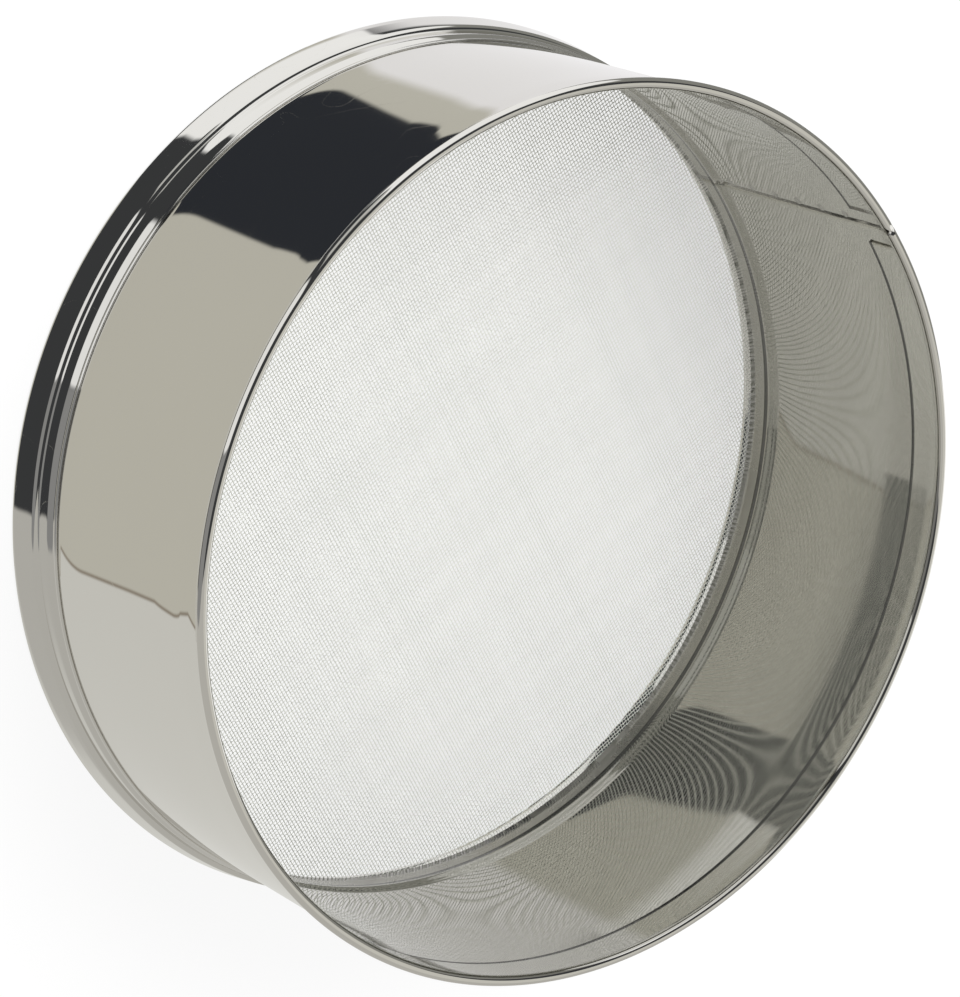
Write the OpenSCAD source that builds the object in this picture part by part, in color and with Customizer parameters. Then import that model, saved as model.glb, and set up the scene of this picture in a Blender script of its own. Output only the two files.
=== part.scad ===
// Tamis drum sieve: a low steel drum, open at the top, with wire cloth stretched over its lower end.
// Origin at the middle of the foot, +Z up the drum's axis towards the open rim, +X along the warp wires.

/* [Drum] */
// Outside diameter of the drum wall
drum_d = 290; // [200:1:400]
// Height from the foot to the top of the rim
drum_h = 106.8; // [80:0.1:160]
// Thickness of the drum's sheet
wall_t = 0.6; // [0.5:0.1:1.0]

/* [Rim] */
// Diameter of the rolled rim
roll_d = 3.5; // [3:0.1:5]
// How far the middle of the rolled rim stands outside the hemmed band
roll_out = 0.1; // [0:0.05:0.4]
// Height of the hem that is turned down inside the rim
hem_h = 14.8; // [10:0.1:20]
// How far the hemmed band stands out past the wall below it
crease_step = 0.2; // [0.1:0.05:0.3]

/* [Seam] */
// Direction of the lap seam, in degrees from the warp wires
seam_angle = 7.5; // [0:0.5:90]
// Width of the lap along the wall
lap_w = 11; // [8:0.5:16]
// Length of hem cut away at the seam
hem_notch = 13; // [8:0.5:20]
// Slit left where the two ends of the rim meet
seam_slit = 0.4; // [0.2:0.1:1]
// Number of spot welds down the lap
weld_count = 6; // [3:1:9]
// Diameter of one spot weld
weld_d = 3; // [2:0.5:4]

/* [Locking rib] */
// Height of the rib's middle above the foot
rib_z = 17; // [16:0.1:18]
// Height of the rib
rib_h = 5.8; // [4:0.1:6]
// How far the rib stands into the drum
rib_depth = 0.5; // [0.3:0.05:0.8]

/* [Clamp ring] */
// Thickness of the ring's sheet
ring_t = 0.6; // [0.5:0.1:0.8]
// Height of the ring's top edge above the foot
skirt_h = 20; // [19:0.1:26]
// Length of the skirt from its top edge to the foot's shoulder
skirt_l = 7.85; // [7:0.05:9]
// How far the skirt leans out, in degrees
skirt_lean = 11; // [9:0.5:13]
// Slope of the step from the skirt to the foot, in degrees from upright
step_lean = 70; // [60:1:80]
// Length of the straight part of that step
step_l = 0.25; // [0.2:0.05:0.6]
// How far the foot's outer side leans out, in degrees
side_lean = 9; // [6:0.5:12]
// Bending radius in the ring, to the middle of its sheet
ring_bend = 1.2; // [1:0.1:1.4]
// Height of the strip's lower edge, turned up inside the foot to press on the cloth
leg_h = 10; // [8:0.5:11]

/* [Wire cloth] */
// Diameter of one wire
wire_d = 0.32; // [0.25:0.01:0.4]
// Distance from one wire to the next
wire_pitch = 1.2; // [1:0.1:3]
// Height of the cloth's underside above the foot
cloth_lift = 6; // [4:0.1:7]
// Length of cloth folded up between the drum and the ring
turn_up = 9.5; // [6:0.5:10]

/* [Fits] */
// Clearance between folded sheets, and between the sheet and the rim wire
fold_gap = 0.05; // [0.04:0.01:0.1]

/* [Hidden] */
$fn = 128;
wall_r = drum_d / 2;
wall_in = wall_r - wall_t;
cloth_t = 2 * wire_d + fold_gap;
wall_foot = cloth_lift + cloth_t + fold_gap;

rim_r = wall_r + crease_step + roll_out;
roll_r = roll_d / 2;
rim_z = drum_h - roll_r;
hem_z = drum_h - hem_h;
hem_out = wall_in + crease_step - fold_gap;
neck_z = rim_z - roll_r + wall_t / 2;

edge_out = wall_r + fold_gap + cloth_t;
leg_r = edge_out + fold_gap + ring_t / 2;
bend_over = 1;

lap_deg = lap_w / wall_r * 180 / PI;
slit_deg = seam_slit / wall_r * 180 / PI;
joggle_deg = lap_deg / 4;
notch_deg = hem_notch / wall_r * 180 / PI;
lap_bottom = skirt_h + 1;
lap_top = hem_z - 0.3;
weld_step = (lap_top - lap_bottom) / weld_count;

cloth_r = wall_r;
wires_a_side = floor((cloth_r - wire_d) / wire_pitch);

// Rectangle between two radii and two heights
module band(r0, r1, z0, z1) {
    translate([r0, z0]) square([r1 - r0, z1 - z0]);
}

// Radius of a circle from its sagitta and chord
function arc_r(sagitta, chord) = (sagitta * sagitta + chord * chord / 4) / (2 * sagitta);

// One sheet: straight wall, swaged rib, raised hem band and rolled rim
module hoop_section() {
    rib_r = arc_r(rib_depth, rib_h);
    rib_c = wall_in - rib_depth + rib_r;
    difference() {
        union() {
            band(wall_in, wall_r, wall_foot, hem_z + wall_t);
            intersection() {
                translate([rib_c, rib_z]) circle(r = rib_r, $fn = 360);
                band(wall_in - rib_depth - 1, wall_in + wall_t / 2, rib_z - rib_h, rib_z + rib_h);
            }
            band(wall_in + crease_step, wall_r + crease_step, hem_z, neck_z);
            translate([rim_r, rim_z]) circle(r = roll_r);
        }
        translate([rib_c, rib_z]) circle(r = rib_r - wall_t, $fn = 360);
        translate([rim_r, rim_z]) circle(r = roll_r - wall_t);
    }
}

// The hem: the sheet's edge, turned down from the roll inside the raised band
module hem_section() {
    difference() {
        band(hem_out - wall_t, hem_out, hem_z, rim_z - roll_r / 2);
        translate([rim_r, rim_z]) circle(r = roll_r - wall_t);
    }
}

// Where the spot welds sit: through both layers of the lap, near its inner edge
module weld_pins(r0, r1) {
    for (i = [0 : weld_count - 1])
        rotate([0, 0, seam_angle + lap_deg / 4])
            translate([r0, 0, lap_bottom + (i + 0.5) * weld_step])
                rotate([0, 90, 0])
                    cylinder(h = r1 - r0, d = weld_d, $fn = 32);
}

// The outer end of the strip, stepped out by one sheet so that it passes over the other end
module lap_tail() {
    tail_in = wall_r + fold_gap;
    rotate([0, 0, seam_angle - joggle_deg])
        rotate_extrude(angle = joggle_deg - slit_deg)
            band(wall_r - wall_t / 2, tail_in + wall_t, lap_bottom, lap_top);
    rotate([0, 0, seam_angle - joggle_deg])
        rotate_extrude(angle = joggle_deg + lap_deg)
            band(tail_in, tail_in + wall_t, lap_bottom, lap_top);
}

module drum_hoop() {
    color([0.74, 0.74, 0.72])
    difference() {
        union() {
            rotate([0, 0, seam_angle])
                rotate_extrude(angle = 360 - slit_deg)
                    hoop_section();
            rotate([0, 0, seam_angle + notch_deg / 2])
                rotate_extrude(angle = 360 - notch_deg)
                    hem_section();
            lap_tail();
        }
        weld_pins(wall_in - wall_t, wall_r + 3 * wall_t);
    }
}

module rim_wire() {
    color([0.6, 0.6, 0.6])
    rotate([0, 0, seam_angle])
        rotate_extrude(angle = 360 - slit_deg)
            translate([rim_r, rim_z]) circle(r = roll_r - wall_t - fold_gap);
}

module seam_welds() {
    dimple = wall_t / 5;
    color([0.5, 0.5, 0.48])
    weld_pins(wall_in + dimple, wall_r + fold_gap + wall_t - dimple);
}

// Unit vectors down a strip that leans out by a degrees, and square to it
function along(a) = [sin(a), -cos(a)];
function square_to(a) = [cos(a), sin(a)];

// Straight part of the ring's sheet, between two points on its middle
module straight(p, q) {
    translate(p)
        rotate(atan2(q.y - p.y, q.x - p.x))
            translate([0, -ring_t / 2]) square([norm(q - p), ring_t]);
}

// Bent part of the ring's sheet about a centre, from one direction to another, a little into its neighbours
module bent(c, from, to) {
    reach = 2 * ring_bend;
    a0 = from - bend_over;
    a1 = to + bend_over;
    mid = (from + to) / 2;
    intersection() {
        translate(c)
            difference() {
                circle(r = ring_bend + ring_t / 2);
                circle(r = ring_bend - ring_t / 2);
            }
        polygon([
            c,
            c + reach * [cos(a0), sin(a0)],
            c + 2 * reach * [cos(mid), sin(mid)],
            c + reach * [cos(a1), sin(a1)]
        ]);
    }
}

// One sheet: skirt leaning out from the wall, step, foot's side, sole, and lower edge turned up inside
module clamp_section() {
    skirt_top = [wall_r + fold_gap + ring_t / 2, skirt_h];
    skirt_end = skirt_top + skirt_l * along(skirt_lean);
    step_c = skirt_end + ring_bend * square_to(skirt_lean);
    step_top = step_c - ring_bend * square_to(step_lean);
    step_end = step_top + step_l * along(step_lean);
    shoulder_c = step_end - ring_bend * square_to(step_lean);
    side_top = shoulder_c + ring_bend * square_to(side_lean);
    bend_z = ring_t / 2 + ring_bend;
    side_l = (side_top.y - bend_z - ring_bend * sin(side_lean)) / cos(side_lean);
    side_end = side_top + side_l * along(side_lean);
    toe_c = side_end - ring_bend * square_to(side_lean);
    heel_c = [leg_r + ring_bend, bend_z];
    straight(skirt_top, skirt_end);
    bent(step_c, 180 + skirt_lean, 180 + step_lean);
    straight(step_top, step_end);
    bent(shoulder_c, side_lean, step_lean);
    straight(side_top, side_end);
    bent(toe_c, -90, side_lean);
    straight([heel_c.x, ring_t / 2], [toe_c.x, ring_t / 2]);
    bent(heel_c, 180, 270);
    straight([leg_r, bend_z], [leg_r, leg_h]);
}

module clamp_ring() {
    color([0.7, 0.7, 0.68])
    rotate_extrude() clamp_section();
}

// The cloth's rim, folded up between the drum and the ring and pressed flat
module cloth_edge() {
    color([0.62, 0.62, 0.6])
    rotate_extrude()
        band(wall_r + fold_gap, edge_out, cloth_lift, cloth_lift + turn_up);
}

// Parallel wires, each cut to the chord that it spans
module wire_layer(z) {
    for (i = [-wires_a_side : wires_a_side]) {
        y = i * wire_pitch;
        reach = abs(y) + wire_d / 2;
        half = sqrt(cloth_r * cloth_r - reach * reach);
        translate([-half, y, z])
            rotate([0, 90, 0])
                cylinder(h = 2 * half, d = wire_d, $fn = 16);
    }
}

module warp_wires() {
    color([0.8, 0.8, 0.78])
    wire_layer(cloth_lift + wire_d / 2);
}

module weft_wires() {
    color([0.84, 0.84, 0.82])
    rotate([0, 0, 90])
        wire_layer(cloth_lift + 1.5 * wire_d + fold_gap);
}

drum_hoop();
rim_wire();
seam_welds();
clamp_ring();
cloth_edge();
warp_wires();
weft_wires();
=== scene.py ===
import math
import bmesh
import bpy
from mathutils import Matrix, Quaternion, Vector


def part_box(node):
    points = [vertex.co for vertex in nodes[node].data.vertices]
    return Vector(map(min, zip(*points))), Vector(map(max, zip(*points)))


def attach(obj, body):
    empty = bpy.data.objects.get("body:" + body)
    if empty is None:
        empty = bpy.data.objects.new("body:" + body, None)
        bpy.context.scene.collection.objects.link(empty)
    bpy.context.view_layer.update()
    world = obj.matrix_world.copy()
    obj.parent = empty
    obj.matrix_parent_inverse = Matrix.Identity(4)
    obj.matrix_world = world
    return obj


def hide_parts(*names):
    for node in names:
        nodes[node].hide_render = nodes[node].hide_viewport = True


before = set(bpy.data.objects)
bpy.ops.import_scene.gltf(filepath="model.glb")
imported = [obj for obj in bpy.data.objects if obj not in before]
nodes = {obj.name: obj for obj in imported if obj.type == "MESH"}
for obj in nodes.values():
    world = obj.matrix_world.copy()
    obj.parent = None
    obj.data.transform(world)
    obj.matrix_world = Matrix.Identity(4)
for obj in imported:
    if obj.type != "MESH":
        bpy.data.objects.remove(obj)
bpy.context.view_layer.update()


# Drum wall: one strip of 0.6 mm stainless steel, mirror polished outside and duller inside, where its colour
# is also painted darker as shade, with a locking rib swaged near its foot. Its upper edge is rolled round a
# wire and turned down inside as a hem. One end of the strip steps out over the other and is spot welded to
# it.
hoop_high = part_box("drum_hoop")[1]
foot_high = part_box("clamp_ring")[1]
sheet_t = 0.0006
fold_gap = 0.00005
crease_step = 0.0002
hem_h = 0.0148
roll_r = 0.00175
roll_out = 0.0001
neck_r = 0.0008
rim_z = hoop_high[2] - roll_r
rim_r = hoop_high[0] - roll_r
wall_out = rim_r - roll_out - crease_step
wall_mid = wall_out - sheet_t / 2
band_mid = wall_mid + crease_step
hem_mid = band_mid - sheet_t - fold_gap
hem_z = hoop_high[2] - hem_h
seam_deg = 7.5
lap_deg = 4.35
slit_deg = 0.05
notch_deg = 2.57
turns = 360
crease_deg = 35


def start_path(mesh, r, z):
    return bmesh.ops.create_vert(mesh, co=(r, 0, z))["vert"][0]


def line_to(mesh, vert, r, z):
    new = bmesh.ops.extrude_vert_indiv(mesh, verts=[vert])["verts"][0]
    new.co = (r, 0, z)
    return new


def arc_about(mesh, vert, r, z, degrees, steps):
    arc = bmesh.ops.spin(
        mesh,
        geom=[vert],
        cent=(r, 0, z),
        axis=(0, -1, 0),
        angle=math.radians(degrees),
        steps=steps,
    )
    return [part for part in arc["geom_last"] if isinstance(part, bmesh.types.BMVert)][0]


def turn_about_axis(mesh, verts, degrees):
    bmesh.ops.rotate(mesh, verts=verts, cent=(0, 0, 0), matrix=Matrix.Rotation(math.radians(degrees), 3, "Z"))


def revolve(mesh, first_deg, sweep_deg, steps):
    turn_about_axis(mesh, mesh.verts[:], first_deg)
    bmesh.ops.spin(
        mesh,
        geom=mesh.verts[:] + mesh.edges[:],
        cent=(0, 0, 0),
        axis=(0, 0, 1),
        angle=math.radians(sweep_deg),
        steps=steps,
        use_merge=sweep_deg == 360,
    )


def degrees_past_seam(point):
    return (math.degrees(math.atan2(point.y, point.x)) - seam_deg + 180) % 360 - 180


def shift_out(vert, distance):
    radius = math.hypot(vert.co.x, vert.co.y)
    vert.co.x *= 1 + distance / radius
    vert.co.y *= 1 + distance / radius


def finish_mesh(mesh, name):
    bmesh.ops.remove_doubles(mesh, verts=mesh.verts[:], dist=1e-6)
    bmesh.ops.recalc_face_normals(mesh, faces=mesh.faces[:])
    for face in mesh.faces:
        face.smooth = True
    for edge in mesh.edges:
        if len(edge.link_faces) == 2 and edge.calc_face_angle(0) > math.radians(crease_deg):
            edge.smooth = False
    data = bpy.data.meshes.new(name)
    mesh.to_mesh(data)
    mesh.free()
    piece = bpy.data.objects.new(name, data)
    bpy.context.collection.objects.link(piece)
    return piece


def thicken(piece, thickness):
    solid = piece.modifiers.new("sheet", "SOLIDIFY")
    solid.thickness = thickness
    solid.offset = 0
    solid.use_even_offset = True
    return piece


rib_z = 0.017
rib_half = 0.0029
rib_depth = 0.0005
rib_steps = 12
wall_foot = 0.0068
spring_foot = 0.0208
spring_low = 0.035
spring_high = 0.078
spring_top = 0.091

hoop = bmesh.new()
tip = start_path(hoop, wall_mid, wall_foot)
tip = line_to(hoop, tip, wall_mid, (wall_foot + rib_z - rib_half) / 2)
for step in range(rib_steps + 1):
    height = (2 * step / rib_steps - 1) * rib_half
    inset = rib_depth * (1 + math.cos(math.pi * height / rib_half)) / 2
    tip = line_to(hoop, tip, wall_mid - inset, rib_z + height)


# The rolled sheet springs out by 0.23 mm towards its rib and 0.17 mm towards its hem, which bends reflections
def sprung_out(height):
    return 80 * max(0, spring_low - height) ** 3 + 0.18 * max(0, height - spring_high) ** 1.6


springback = [(0.0203, 0.00008)]
spans = ((spring_foot, spring_low, 10), (spring_low, spring_high, 3), (spring_high, spring_top, 8))
for first, last, rows in spans:
    for row in range(rows):
        height = first + (last - first) * row / rows
        springback.append((height, sprung_out(height)))
springback.append((spring_top, sprung_out(spring_top)))
for height, out in springback:
    tip = line_to(hoop, tip, wall_mid + out, height)
# The crease where the wall steps out into the hem's band
tip = line_to(hoop, tip, band_mid - 0.00001, hem_z + 0.0002)
tip = line_to(hoop, tip, band_mid, hem_z + 0.001)

roll_mid = roll_r - sheet_t / 2
reach = roll_mid + neck_r
outer_off = band_mid + neck_r - rim_r
outer_rise = math.sqrt(reach**2 - outer_off**2)
outer_turn = math.degrees(math.acos(outer_off / reach))
inner_off = rim_r - hem_mid + neck_r
inner_rise = math.sqrt(reach**2 - inner_off**2)
inner_turn = math.degrees(math.acos(inner_off / reach))
tip = line_to(hoop, tip, band_mid, (hem_z + rim_z - outer_rise) / 2)
tip = line_to(hoop, tip, band_mid, rim_z - outer_rise)
tip = arc_about(hoop, tip, band_mid + neck_r, rim_z - outer_rise, -outer_turn, 8)
tip = arc_about(hoop, tip, rim_r, rim_z, 180 + outer_turn + inner_turn, 36)
tip = arc_about(hoop, tip, hem_mid - neck_r, rim_z - inner_rise, -inner_turn, 8)
for share in (0.3, 0.6, 0.88, 1):
    tip = line_to(hoop, tip, hem_mid, rim_z - inner_rise - (rim_z - inner_rise - hem_z) * share)
revolve(hoop, seam_deg, 360 - slit_deg, turns)

# The hem's leg is cut away on both sides of the seam
leg_side = hem_mid + 0.0001
leg_faces = []
for face in hoop.faces:
    middle = face.calc_center_median()
    inside = math.hypot(middle.x, middle.y) < leg_side
    leg = inside and hem_z < middle.z < rim_z - inner_rise
    if leg and abs(degrees_past_seam(middle)) < notch_deg:
        leg_faces.append(face)
bmesh.ops.delete(hoop, geom=leg_faces, context="FACES")
# The foot below the rib is left unpolished; the rib's lower flank and the hem's edge are painted near black
# as shade of the crease under the rib and of the gap under the hem's edge. These are the outer face's places
# in the list of materials, and the inner face takes the place after it.
inner_skin, groove_shade_skin, foot_skin = 1, 2, 3
flank_top = rib_z - 0.0003
edge_h = 0.0014
for face in hoop.faces:
    middle = face.calc_center_median()
    if middle.z < rib_z - rib_half:
        face.material_index = foot_skin
    # The rib's lower flank: its inner face takes the near-black painted shade
    elif middle.z < flank_top:
        face.material_index = inner_skin
    # The hem's edge: a band of near-black painted shade for the gap under it
    elif math.hypot(middle.x, middle.y) < leg_side and middle.z > hem_z:
        face.material_index = groove_shade_skin if middle.z < hem_z + edge_h else inner_skin

# The outer end of the strip, stepped out over the other end
tail_mid = wall_mid + sheet_t + fold_gap
tail_high = hem_z - 0.0003
tail_start = -2.2
joggle_deg = 1.6
lap_lift = 0.00002
tail = bmesh.new()
tail_low = springback[1][0]
tip = start_path(tail, wall_mid + springback[1][1], tail_low)
for height, out in springback[2:]:
    tip = line_to(tail, tip, wall_mid + out, height)
tip = line_to(tail, tip, wall_mid + springback[-1][1], tail_high)
revolve(tail, seam_deg + tail_start, lap_deg - tail_start, 30)
for vert in tail.verts:
    share = min(1, (degrees_past_seam(vert.co) - tail_start) / joggle_deg)
    shift_out(vert, (tail_mid - wall_mid) * (1 - math.cos(math.pi * share)) / 2 + lap_lift)

drum = thicken(finish_mesh(hoop, "drum_wall"), sheet_t)
lap = thicken(finish_mesh(tail, "lap_end"), sheet_t)


def scuff_group():
    group = bpy.data.node_groups.new("scuffs", "ShaderNodeTree")
    face = group.interface
    face.new_socket("Scale", in_out="INPUT", socket_type="NodeSocketFloat")
    face.new_socket("Roughness Low", in_out="INPUT", socket_type="NodeSocketFloat")
    face.new_socket("Roughness High", in_out="INPUT", socket_type="NodeSocketFloat")
    face.new_socket("Hairline Roughness", in_out="INPUT", socket_type="NodeSocketFloat")
    face.new_socket("Light", in_out="INPUT", socket_type="NodeSocketColor")
    face.new_socket("Dull", in_out="INPUT", socket_type="NodeSocketColor")
    face.new_socket("Color", in_out="OUTPUT", socket_type="NodeSocketColor")
    face.new_socket("Roughness", in_out="OUTPUT", socket_type="NodeSocketFloat")
    face.new_socket("Height", in_out="OUTPUT", socket_type="NodeSocketFloat")
    make, link = group.nodes.new, group.links.new
    given = make("NodeGroupInput")
    result = make("NodeGroupOutput")
    where = make("ShaderNodeTexCoord")

    cloud = make("ShaderNodeTexNoise")
    cloud.inputs["Detail"].default_value = 5
    link(where.outputs["Object"], cloud.inputs["Vector"])
    link(given.outputs["Scale"], cloud.inputs["Scale"])

    grain = make("ShaderNodeTexNoise")
    grain.inputs["Scale"].default_value = 900
    grain.inputs["Detail"].default_value = 3
    squeeze = make("ShaderNodeVectorMath")
    squeeze.operation = "MULTIPLY"
    squeeze.inputs[1].default_value = (0.04, 0.04, 1)
    link(where.outputs["Object"], squeeze.inputs[0])
    link(squeeze.outputs["Vector"], grain.inputs["Vector"])

    # Hairline scratches run where a slow noise passes through its middle value
    wander = make("ShaderNodeTexNoise")
    wander.inputs["Scale"].default_value = 24
    wander.inputs["Detail"].default_value = 1
    link(where.outputs["Object"], wander.inputs["Vector"])
    centred = make("ShaderNodeMath")
    centred.operation = "SUBTRACT"
    centred.inputs[1].default_value = 0.5
    link(wander.outputs["Fac"], centred.inputs[0])
    away = make("ShaderNodeMath")
    away.operation = "ABSOLUTE"
    link(centred.outputs[0], away.inputs[0])
    hairline = make("ShaderNodeMapRange")
    hairline.inputs["From Max"].default_value = 0.0012
    hairline.inputs["To Min"].default_value = 1
    hairline.inputs["To Max"].default_value = 0
    link(away.outputs[0], hairline.inputs["Value"])

    rough = make("ShaderNodeMapRange")
    rough.inputs["From Min"].default_value = 0.35
    rough.inputs["From Max"].default_value = 0.7
    link(cloud.outputs["Fac"], rough.inputs["Value"])
    link(given.outputs["Roughness Low"], rough.inputs["To Min"])
    link(given.outputs["Roughness High"], rough.inputs["To Max"])
    scratched = make("ShaderNodeMix")
    link(hairline.outputs["Result"], scratched.inputs["Factor"])
    link(rough.outputs["Result"], scratched.inputs[2])
    link(given.outputs["Hairline Roughness"], scratched.inputs[3])
    link(scratched.outputs[0], result.inputs["Roughness"])

    tint = make("ShaderNodeMix")
    tint.data_type = "RGBA"
    link(cloud.outputs["Fac"], tint.inputs["Factor"])
    link(given.outputs["Light"], tint.inputs[6])
    link(given.outputs["Dull"], tint.inputs[7])
    link(tint.outputs[2], result.inputs["Color"])
    link(grain.outputs["Fac"], result.inputs["Height"])
    return group


scuffs = scuff_group()


def steel(name, light, dull, roughness, scale, bump):
    material = bpy.data.materials.new(name)
    material.use_nodes = True
    tree = material.node_tree
    skin = tree.nodes["Principled BSDF"]
    skin.inputs["Metallic"].default_value = 1
    worn = tree.nodes.new("ShaderNodeGroup")
    worn.node_tree = scuffs
    worn.inputs["Scale"].default_value = scale
    worn.inputs["Roughness Low"].default_value = roughness[0]
    worn.inputs["Roughness High"].default_value = roughness[1]
    worn.inputs["Hairline Roughness"].default_value = roughness[1] + 0.1
    worn.inputs["Light"].default_value = (*light, 1)
    worn.inputs["Dull"].default_value = (*dull, 1)
    tree.links.new(worn.outputs["Color"], skin.inputs["Base Color"])
    tree.links.new(worn.outputs["Roughness"], skin.inputs["Roughness"])
    relief = tree.nodes.new("ShaderNodeBump")
    relief.inputs["Strength"].default_value = bump
    relief.inputs["Distance"].default_value = 0.00001
    tree.links.new(worn.outputs["Height"], relief.inputs["Height"])
    tree.links.new(relief.outputs["Normal"], skin.inputs["Normal"])
    return material


mirror_steel = steel("mirror_steel", (0.74, 0.725, 0.69), (0.7, 0.69, 0.66), (0.015, 0.045), 9, 0.02)
# The inside's darker colour is painted shade for the drum's shaded inside; its slightly rougher finish is
# real
inner_shaded_steel = steel("inner_shaded_steel", (0.51, 0.5, 0.46), (0.46, 0.45, 0.415), (0.03, 0.06), 14, 0.03)
# Near-black painted shade for the crease under the rib and the gap under the hem's edge
groove_shade_steel = steel("groove_shade_steel", (0.17, 0.165, 0.155), (0.08, 0.08, 0.075), (0.15, 0.25), 40, 0.05)
foot_steel = steel("foot_steel", (0.5, 0.49, 0.45), (0.42, 0.41, 0.38), (0.22, 0.32), 30, 0.05)
for piece in (drum, lap):
    for skin in (mirror_steel, inner_shaded_steel, groove_shade_steel, foot_steel):
        piece.data.materials.append(skin)
    piece.modifiers["sheet"].material_offset = 1
    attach(piece, "root")
    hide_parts("drum_hoop")


# Rim wire: the drawn steel wire that the rim is rolled over. It can be seen only at the slit of the seam, so
# the solid itself is shown, with a material of its own.
wire_steel = steel("rim_wire_steel", (0.52, 0.52, 0.51), (0.4, 0.4, 0.39), (0.25, 0.4), 60, 0.3)
nodes["rim_wire"].data.materials.clear()
nodes["rim_wire"].data.materials.append(wire_steel)


# Seam welds: a row of resistance spot welds down the lap. The electrodes leave a shallow, slightly
# darkened dimple on both faces of the sheet.
weld_count = 6
weld_r = 0.0015
weld_lip = 0.00002
lip_w = weld_r * 0.3
weld_gap = (tail_high - tail_low) / weld_count
weld_deg = seam_deg + lap_deg / 4
weld_mesh = bmesh.new()
for count in range(weld_count):
    for side, radius in ((-1, wall_mid - sheet_t / 2), (1, tail_mid + sheet_t / 2)):
        disc = bmesh.ops.create_circle(weld_mesh, cap_ends=True, segments=24, radius=weld_r)
        face = disc["verts"][0].link_faces[0]
        lip = bmesh.ops.inset_region(weld_mesh, faces=[face], thickness=lip_w, depth=weld_lip)
        dimple = bmesh.ops.inset_region(weld_mesh, faces=[face], thickness=lip_w, depth=-weld_lip)
        made = set(disc["verts"])
        for face_made in lip["faces"] + dimple["faces"] + [face]:
            made.update(face_made.verts)
        made = list(made)
        sideways = Matrix.Rotation(side * math.pi / 2, 3, "Y")
        bmesh.ops.rotate(weld_mesh, verts=made, cent=(0, 0, 0), matrix=sideways)
        height = tail_low + (count + 0.5) * weld_gap
        radius += sprung_out(height) + side * weld_lip
        bmesh.ops.translate(weld_mesh, verts=made, vec=(radius, 0, height))
        turn_about_axis(weld_mesh, made, weld_deg)
welds = finish_mesh(weld_mesh, "spot_welds")
weld_steel = steel("weld_steel", (0.46, 0.45, 0.42), (0.36, 0.35, 0.33), (0.2, 0.35), 300, 0.3)
welds.data.materials.append(weld_steel)
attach(welds, "root")
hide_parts("seam_welds")


# Clamp ring: a second strip, pressed over the drum's foot to grip the cloth. A skirt lies against the wall
# at its top, steps out to the foot, and the lower edge is turned under and back up inside the foot.
skirt_lean = math.radians(11)
step_lean = math.radians(70)
side_lean = math.radians(9)
bend_r = 0.0012
skirt_l = 0.00785
step_l = 0.00025
leg_high = 0.01
foot_w = 0.004225
bend_z = sheet_t / 2 + bend_r
toe_r = foot_high[0] - bend_z
leg_r = foot_high[0] - foot_w


def point_along(start, lean, length):
    return start + Vector((math.sin(lean), -math.cos(lean))) * length


def point_beside(start, lean, length):
    return start + Vector((math.cos(lean), math.sin(lean))) * length


skirt_top = Vector((wall_out + fold_gap + sheet_t / 2, foot_high[2]))
skirt_end = point_along(skirt_top, skirt_lean, skirt_l)
step_centre = point_beside(skirt_end, skirt_lean, bend_r)
step_end = point_along(point_beside(step_centre, step_lean, -bend_r), step_lean, step_l)
shoulder = point_beside(step_end, step_lean, -bend_r)
side_top = point_beside(shoulder, side_lean, bend_r)
side_end = point_beside(Vector((toe_r, bend_z)), side_lean, bend_r)

ring = bmesh.new()
tip = start_path(ring, *skirt_top)
# The skirt lies flat on the wall at its top, swells out below that and then runs down at a slight lean. For
# each stretch: the lean that it ends with in degrees, its length and the number of its steps.
spot = skirt_top
lean_deg = 0
for next_deg, length, steps in ((0, 0.0012, 1), (24, 0.001, 5), (24, 0.0014, 1), (8, 0.001, 5)):
    for step in range(1, steps + 1):
        here_deg = lean_deg + (next_deg - lean_deg) * step / steps
        spot = point_along(spot, math.radians(here_deg), length / steps)
        tip = line_to(ring, tip, *spot)
    lean_deg = next_deg
for share in (0.35, 0.7, 1):
    tip = line_to(ring, tip, *spot.lerp(skirt_end, share))
tip = arc_about(ring, tip, *step_centre, math.degrees(step_lean - skirt_lean), 8)
tip = line_to(ring, tip, *step_end)
tip = arc_about(ring, tip, *shoulder, math.degrees(side_lean - step_lean), 10)
for share in (0.25, 0.5, 0.75, 1):
    tip = line_to(ring, tip, *side_top.lerp(side_end, share))
tip = arc_about(ring, tip, toe_r, bend_z, -90 - math.degrees(side_lean), 14)
tip = line_to(ring, tip, leg_r + bend_r, sheet_t / 2)
tip = arc_about(ring, tip, leg_r + bend_r, bend_z, -90, 10)
tip = line_to(ring, tip, leg_r, leg_high)
revolve(ring, 0, 360, turns)
clamp = thicken(finish_mesh(ring, "clamp_band"), sheet_t)
ring_steel = steel("ring_steel", (0.74, 0.73, 0.7), (0.68, 0.67, 0.64), (0.02, 0.05), 12, 0.02)
clamp.data.materials.append(ring_steel)
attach(clamp, "root")
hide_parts("clamp_ring")


# Cloth edge: the rim of the wire cloth, folded up between drum and ring and pressed flat there. It is all
# hidden, so it too is shown by the solid itself.
pressed_steel = steel("pressed_steel", (0.55, 0.55, 0.53), (0.42, 0.42, 0.4), (0.3, 0.45), 200, 0.4)
nodes["cloth_edge"].data.materials.clear()
nodes["cloth_edge"].data.materials.append(pressed_steel)


# Wire cloth: bright drawn stainless wire in plain weave, each wire crimped over and under the wires that
# cross it. Its rim is gripped between the drum and the clamp ring.
wire_r = 0.00016
pitch = 0.0012
cloth_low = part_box("warp_wires")[0]
cloth_mid = cloth_low[2] + 2 * wire_r
gripped_w = 0.0007
cloth_r = wall_out + gripped_w
half_count = 121
wire_sides = 4
spacing_wander = 0.00006
bright_wire = (0.96, 0.97, 0.91, 1)
dull_wire = (0.85, 0.865, 0.8, 1)


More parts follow.
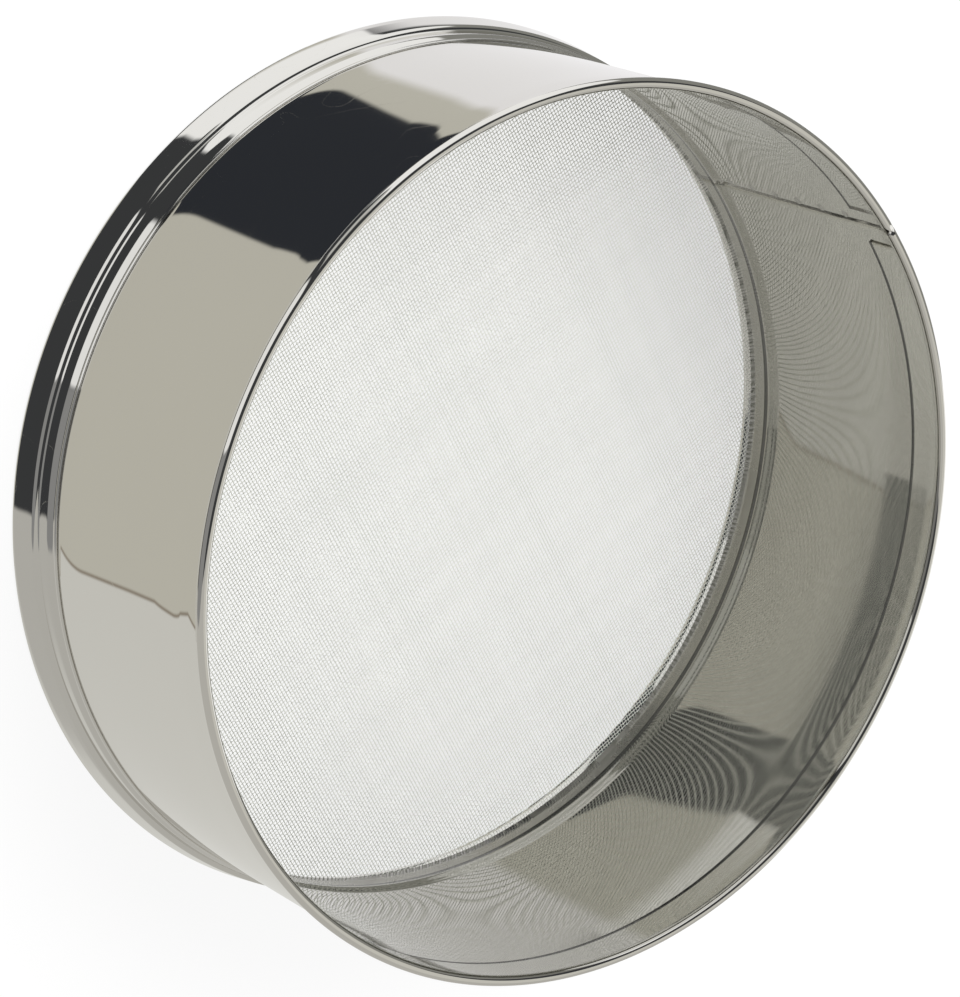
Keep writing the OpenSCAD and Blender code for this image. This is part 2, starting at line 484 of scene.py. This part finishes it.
def drawn_wire(name, stretch):
    material = steel(name, bright_wire[:3], dull_wire[:3], (0.35, 0.45), 40, 0.05)
    tree = material.node_tree
    skin = tree.nodes["Principled BSDF"]
    skin.inputs["Metallic"].default_value = 0.55
    where = tree.nodes.new("ShaderNodeTexCoord")
    along = tree.nodes.new("ShaderNodeVectorMath")
    along.operation = "MULTIPLY"
    along.inputs[1].default_value = stretch
    tree.links.new(where.outputs["Object"], along.inputs[0])
    streak = tree.nodes.new("ShaderNodeTexNoise")
    streak.inputs["Scale"].default_value = 100
    streak.inputs["Detail"].default_value = 3
    tree.links.new(along.outputs["Vector"], streak.inputs["Vector"])
    spread = tree.nodes.new("ShaderNodeMapRange")
    spread.inputs["From Min"].default_value = 0.35
    spread.inputs["From Max"].default_value = 0.65
    tree.links.new(streak.outputs["Fac"], spread.inputs["Value"])
    tint = tree.nodes.new("ShaderNodeMix")
    tint.data_type = "RGBA"
    tint.inputs[6].default_value = bright_wire
    tint.inputs[7].default_value = dull_wire
    tree.links.new(spread.outputs["Result"], tint.inputs["Factor"])
    tree.links.new(tint.outputs[2], skin.inputs["Base Color"])
    return material


warp_steel = drawn_wire("warp_wire_steel", (0.05, 1, 1))
weft_steel = drawn_wire("weft_wire_steel", (1, 0.05, 1))


def crimped_wire(mesh, sign):
    ends = bmesh.ops.create_circle(mesh, segments=wire_sides, radius=wire_r)["verts"]
    bmesh.ops.rotate(mesh, verts=ends, cent=(0, 0, 0), matrix=Matrix.Rotation(math.pi / 2, 3, "Y"))
    bmesh.ops.translate(mesh, verts=ends, vec=(-half_count * pitch, 0, sign * wire_r))
    edges = list({edge for vert in ends for edge in vert.link_edges})
    for count in range(1, 2 * half_count + 1):
        grown = bmesh.ops.extrude_edge_only(mesh, edges=edges)["geom"]
        verts = [part for part in grown if isinstance(part, bmesh.types.BMVert)]
        edges = [part for part in grown if isinstance(part, bmesh.types.BMEdge)]
        drop = -2 * sign * wire_r if count % 2 else 2 * sign * wire_r
        bmesh.ops.translate(mesh, verts=verts, vec=(pitch, 0, drop))


def wire_sheet(name, first, last, across, lead):
    strands = []
    for sign in (1, -1):
        master = bmesh.new()
        crimped_wire(master, sign)
        strand = bpy.data.meshes.new("strand")
        master.to_mesh(strand)
        master.free()
        strands.append(strand)
    cloth = bmesh.new()
    for count in range(first, last):
        seen = len(cloth.verts)
        cloth.from_mesh(strands[(count + lead) % 2])
        cloth.verts.ensure_lookup_table()
        uneven = spacing_wander * (math.sin(0.37 * count) + math.sin(1.13 * count + lead))
        bmesh.ops.translate(cloth, verts=cloth.verts[seen:], vec=(0, count * pitch + uneven, 0))
    outside = [vert for vert in cloth.verts if math.hypot(vert.co.x, vert.co.y) > cloth_r]
    bmesh.ops.delete(cloth, geom=outside, context="VERTS")
    if across:
        turn_about_axis(cloth, cloth.verts[:], 90)
    bmesh.ops.translate(cloth, verts=cloth.verts[:], vec=(0, 0, cloth_mid))
    for face in cloth.faces:
        face.smooth = True
    data = bpy.data.meshes.new(name)
    cloth.to_mesh(data)
    cloth.free()
    for strand in strands:
        bpy.data.meshes.remove(strand)
    piece = bpy.data.objects.new(name, data)
    bpy.context.collection.objects.link(piece)
    data.materials.append(weft_steel if across else warp_steel)
    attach(piece, "root")
    return piece


for label, node_name, across, lead in (("warp", "warp_wires", False, 0), ("weft", "weft_wires", True, 1)):
    low = wire_sheet(f"{label}_lower_half", -half_count, 0, across, lead)
    high = wire_sheet(f"{label}_upper_half", 0, half_count + 1, across, lead)
    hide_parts(node_name)
    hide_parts(node_name)


# Floor, surroundings, lamps and camera: a pale level floor, a plain studio for the reflections, one soft
# lamp and the photograph's angle.
bpy.ops.mesh.primitive_plane_add(size=6)
floor = bpy.context.object
floor.name = "floor"
floor_white = bpy.data.materials.new("floor_white")
floor_white.use_nodes = True
tree = floor_white.node_tree
paint = tree.nodes["Principled BSDF"]
paint.inputs["Base Color"].default_value = (0.86, 0.86, 0.86, 1)
paint.inputs["Roughness"].default_value = 0.8
glow = tree.nodes.new("ShaderNodeEmission")
glow.inputs["Strength"].default_value = 1
blend = tree.nodes.new("ShaderNodeMixShader")
blend.inputs["Fac"].default_value = 0.85
tree.links.new(paint.outputs[0], blend.inputs[1])
tree.links.new(glow.outputs[0], blend.inputs[2])
sight = tree.nodes.new("ShaderNodeLightPath")
pick = tree.nodes.new("ShaderNodeMixShader")
tree.links.new(sight.outputs["Is Camera Ray"], pick.inputs["Fac"])
tree.links.new(paint.outputs[0], pick.inputs[1])
tree.links.new(blend.outputs[0], pick.inputs[2])
tree.links.new(pick.outputs[0], tree.nodes["Material Output"].inputs["Surface"])
floor.data.materials.append(floor_white)
floor.visible_glossy = False

# The studio that the steel reflects: a white softbox on one side and light boards below, with a dark
# card between them. Headings are in degrees round the drum, heights in degrees above the floor.
world = bpy.data.worlds.new("studio")
bpy.context.scene.world = world
world.use_nodes = True
tree = world.node_tree
make, link = tree.nodes.new, tree.links.new


def feed(socket, value):
    if isinstance(value, bpy.types.NodeSocket):
        link(value, socket)
    else:
        socket.default_value = value


def calc(operation, first, second=0.0):
    node = make("ShaderNodeMath")
    node.operation = operation
    feed(node.inputs[0], first)
    feed(node.inputs[1], second)
    return node.outputs[0]


def fade(value, start, end):
    node = make("ShaderNodeMapRange")
    node.interpolation_type = "SMOOTHSTEP"
    feed(node.inputs["Value"], value)
    node.inputs["From Min"].default_value = start
    node.inputs["From Max"].default_value = end
    return node.outputs["Result"]


def mix_colour(share, first, second):
    node = make("ShaderNodeMix")
    node.data_type = "RGBA"
    feed(node.inputs["Factor"], share)
    feed(node.inputs[6], first)
    feed(node.inputs[7], second)
    return node.outputs[2]


outlook = make("ShaderNodeTexCoord")
split = make("ShaderNodeSeparateXYZ")
link(outlook.outputs["Generated"], split.inputs[0])
east, north, up = split.outputs
first_heading = -60
heading = calc("DEGREES", calc("ARCTAN2", north, east))
heading = calc("FLOORED_MODULO", calc("SUBTRACT", heading, first_heading), 360.0)
height = calc("DEGREES", calc("ARCSINE", up))

beige = (0.60, 0.585, 0.52, 1)
brown = (0.3, 0.26, 0.21, 1)
grey = (0.71, 0.705, 0.67, 1)
white = (0.93, 0.92, 0.93, 1)
dark = (0.03, 0.033, 0.04, 1)
gauge_height = -55.0
# Heading of each edge between the boards at the gauge height, how far it moves for each degree higher, how
# soft it is, and the board that begins there
boards = (
    (-45, 0.0, 20, white), (17, 1.0, 6, beige), (28, 4.4, 2.5, dark), (85.1, 1.1, 1.5, beige),
    (185.2, -2.1, 1.2, brown), (186.2, -2.1, 1.2, grey),
)
below = grey
for place, slope, softness, colour in boards:
    edge = calc("ADD", calc("MULTIPLY", calc("ADD", height, -gauge_height), slope), place - first_heading)
    past = calc("SUBTRACT", heading, edge)
    below = mix_colour(fade(past, -softness / 2, softness / 2), below, colour)

tabletop = (0.7, 0.7, 0.68, 1)
tabletop_top = -69.5
below = mix_colour(fade(height, tabletop_top + 1.5, tabletop_top - 1.5), below, tabletop)

# Higher up a side board ends at a slanting line and the dark card fills the rest
card = (0.05, 0.052, 0.055, 1)
side_board = (0.56, 0.55, 0.52, 1)
line_east, line_north = 0.467, 0.884
across_line = calc("ADD", calc("MULTIPLY", east, line_east), calc("MULTIPLY", north, line_north))
above = mix_colour(fade(across_line, -0.215, -0.195), side_board, card)
# In front of them hang softboxes: first and last heading, lowest and highest point, colour
softboxes = (
    (-48, 22, -40, 32, (0.28, 0.28, 0.26, 1)), (22, 74, -47, 46, (1.1, 1.1, 1.1, 1)),
    (98, 136, -30, 45, (1, 1, 1, 1)), (136, 170, -30, 50, (0.3, 0.3, 0.3, 1)),
    (74, 92, 0, 40, (0.6, 0.6, 0.58, 1)), (268, 301, 35, 78, (0.7, 0.69, 0.64, 1)),
    (-61, -22, 35, 78, (0.7, 0.69, 0.64, 1)), (292, 301, -45, 28, (1.1, 1.1, 1.08, 1)),
    (-61, -40, -45, 28, (1.1, 1.1, 1.08, 1)),
)
for first, last, bottom, top, colour in softboxes:
    inside = calc("MULTIPLY", fade(heading, first - first_heading - 1, first - first_heading + 1),
                  fade(heading, last - first_heading + 1, last - first_heading - 1))
    inside = calc("MULTIPLY", inside, fade(height, bottom - 2, bottom + 2))
    inside = calc("MULTIPLY", inside, fade(height, top + 3, top - 3))
    above = mix_colour(inside, above, colour)

boards_top = -44.5
sky = make("ShaderNodeBackground")
link(mix_colour(fade(height, boards_top - 1, boards_top + 1), below, above), sky.inputs["Color"])
plain = make("ShaderNodeBackground")
plain.inputs["Color"].default_value = (0.95, 0.95, 0.95, 1)
seen_by = make("ShaderNodeLightPath")
choose = make("ShaderNodeMixShader")
link(seen_by.outputs["Is Glossy Ray"], choose.inputs["Fac"])
link(plain.outputs[0], choose.inputs[1])
link(sky.outputs[0], choose.inputs[2])
link(choose.outputs[0], tree.nodes["World Output"].inputs["Surface"])

lamp_data = bpy.data.lights.new("soft_lamp", "AREA")
lamp_data.shape = "DISK"
lamp_data.size = 1.2
lamp_data.energy = 22
lamp = bpy.data.objects.new("soft_lamp", lamp_data)
lamp.location = Vector((0.5, 0.6, 1.5))
lamp.rotation_euler = (-lamp.location).to_track_quat("-Z", "Y").to_euler()
lamp.visible_glossy = False
bpy.context.collection.objects.link(lamp)

view_azimuth = math.radians(123.5)
view_height = math.radians(50.67)
view_roll = math.radians(112.9)
view_distance = 1.2248
focal_px = 3773
picture_px = 960
aim = Vector((-0.0038, 0.0030, 0.0492))
toward = Vector(
    (
        math.cos(view_height) * math.cos(view_azimuth),
        math.cos(view_height) * math.sin(view_azimuth),
        math.sin(view_height),
    )
)
camera_data = bpy.data.cameras.new("camera")
camera_data.sensor_fit = "HORIZONTAL"
camera_data.sensor_width = 36
camera_data.lens = camera_data.sensor_width * focal_px / picture_px
camera = bpy.data.objects.new("camera", camera_data)
camera.location = aim + view_distance * toward
turned = (-toward).to_track_quat("-Z", "Y") @ Quaternion((0, 0, 1), view_roll)
camera.rotation_euler = turned.to_euler()
bpy.context.collection.objects.link(camera)
bpy.context.scene.camera = camera
bpy.context.scene.view_settings.view_transform = "Standard"
